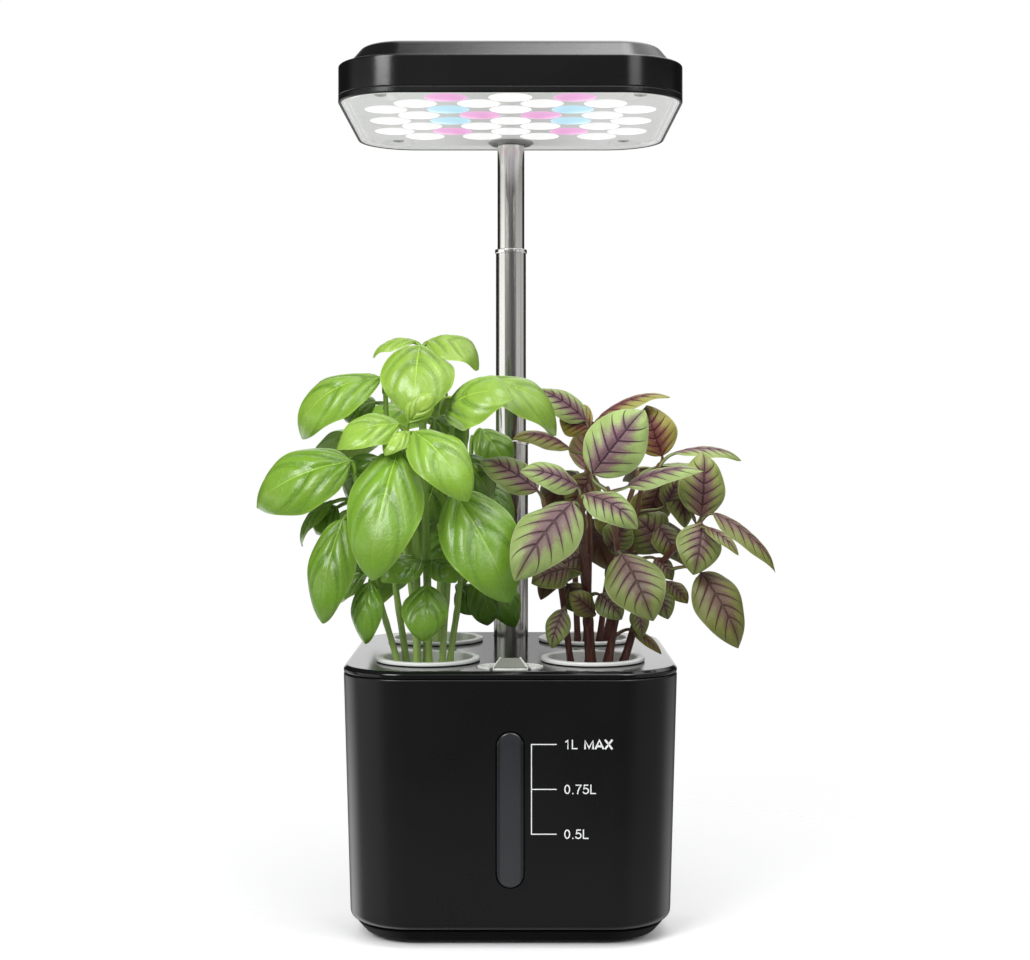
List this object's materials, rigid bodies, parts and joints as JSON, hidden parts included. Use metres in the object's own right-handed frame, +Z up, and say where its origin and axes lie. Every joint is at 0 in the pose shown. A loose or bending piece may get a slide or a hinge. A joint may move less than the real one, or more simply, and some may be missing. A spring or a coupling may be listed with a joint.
{
  "type": "countertop hydroponic garden",
  "caption": "Square countertop water garden with a lift-off deck of planted net baskets, a submerged pump, a water window and a square grow lamp on a telescoping pole.",
  "frame": {"origin": "on the floor, under the middle of the tank's footprint", "axes": "+X to the right seen from the front, +Y to the back where the pole stands, +Z up"},
  "size_m": [0.2055, 0.1589, 0.3454],
  "materials": {
    "black_shell": "satin",
    "black_gloss": "gloss",
    "smoked_clear": "gloss",
    "grey_rubber": "matte",
    "black_rubber": "matte",
    "zinc_steel": "satin",
    "polished_steel": "polished",
    "white_plastic": "satin",
    "clear_cap": "gloss",
    "white_lens": "gloss",
    "green_board": "satin",
    "white_board": "satin",
    "bare_aluminium": "satin",
    "grey_plastic": "satin",
    "seed_sponge": "matte",
    "basil_leaf": "satin",
    "amaranth_leaf": "satin"
  },
  "bodies": {
    "tank": {"tank_shell": "black_shell", "water_window": "smoked_clear", "window_seal": "grey_rubber", "base_plinth": "black_shell", "rubber_foot_1": "black_rubber", "rubber_foot_2": "black_rubber", "rubber_foot_3": "black_rubber", "rubber_foot_4": "black_rubber", "base_screw_1": "zinc_steel", "base_screw_2": "zinc_steel", "base_screw_3": "zinc_steel", "base_screw_4": "zinc_steel"},
    "deck": {"deck_shell": "black_gloss", "control_box": "black_shell", "control_board": "green_board", "dc_socket": "black_shell", "box_screw_1": "zinc_steel", "box_screw_2": "zinc_steel", "pump_housing": "grey_plastic", "pump_cover": "grey_plastic", "riser_tube": "white_plastic", "lower_tube": "polished_steel", "lower_tube_collar": "white_plastic"},
    "impeller": {"pump_impeller": "white_plastic"},
    "middle_pole": {"middle_tube": "polished_steel", "middle_tube_collar": "white_plastic"},
    "lamp": {"upper_tube": "polished_steel", "pole_flange": "grey_plastic", "lamp_top_shell": "black_shell", "lamp_rim": "black_shell", "lens_panel": "white_lens", "led_board": "white_board", "heat_spreader": "bare_aluminium", "driver_board": "green_board", "tube_anchor": "grey_plastic", "lamp_screw_1": "zinc_steel", "lamp_screw_2": "zinc_steel", "lamp_screw_3": "zinc_steel", "lamp_screw_4": "zinc_steel"},
    "button": {"power_button": "black_gloss"},
    "cap": {"fill_cap": "clear_cap"},
    "pod_front_left": {"basket_front_left": "white_plastic", "sponge_front_left": "seed_sponge", "basil_plant_front": "basil_leaf"},
    "pod_front_right": {"basket_front_right": "white_plastic", "sponge_front_right": "seed_sponge", "amaranth_plant_front": "amaranth_leaf"},
    "pod_back_right": {"basket_back_right": "white_plastic", "sponge_back_right": "seed_sponge", "amaranth_plant_back": "amaranth_leaf"},
    "pod_back_left": {"basket_back_left": "white_plastic", "sponge_back_left": "seed_sponge", "basil_plant_back": "basil_leaf"}
  },
  "joints": [
    {"name": "deck_lift", "type": "slide", "parent": "tank", "child": "deck", "axis": [0, 0, 1], "range_m": [0, 0.11]},
    {"name": "middle_tube_slide", "type": "slide", "parent": "deck", "child": "middle_pole", "axis": [0, 0, 1], "range_m": [-0.08, 0], "deforming": ["basil_plant_front", "basil_plant_back", "amaranth_plant_front", "amaranth_plant_back"]},
    {"name": "upper_tube_slide", "type": "slide", "parent": "middle_pole", "child": "lamp", "axis": [0, 0, 1], "range_m": [-0.042, 0.035]},
    {"name": "fill_cap_lift", "type": "slide", "parent": "deck", "child": "cap", "axis": [0, 0, 1], "range_m": [0, 0.03]},
    {"name": "basket_front_left_lift", "type": "slide", "parent": "deck", "child": "pod_front_left", "axis": [0, 0, 1], "range_m": [0, 0.06]},
    {"name": "basket_front_right_lift", "type": "slide", "parent": "deck", "child": "pod_front_right", "axis": [0, 0, 1], "range_m": [0, 0.06]},
    {"name": "basket_back_right_lift", "type": "slide", "parent": "deck", "child": "pod_back_right", "axis": [0, 0, 1], "range_m": [0, 0.06]},
    {"name": "basket_back_left_lift", "type": "slide", "parent": "deck", "child": "pod_back_left", "axis": [0, 0, 1], "range_m": [0, 0.06]},
    {"name": "power_button_press", "type": "slide", "parent": "lamp", "child": "button", "axis": [0, 0, 1], "range_m": [-0.0012, 0], "stiffness_N_per_m": 900, "springref_m": 0.0005},
    {"name": "impeller_spin", "type": "hinge", "parent": "deck", "child": "impeller", "pos_m": [0, -0.005, 0.0204], "axis": [0, 1, 0], "continuous": true}
  ]
}
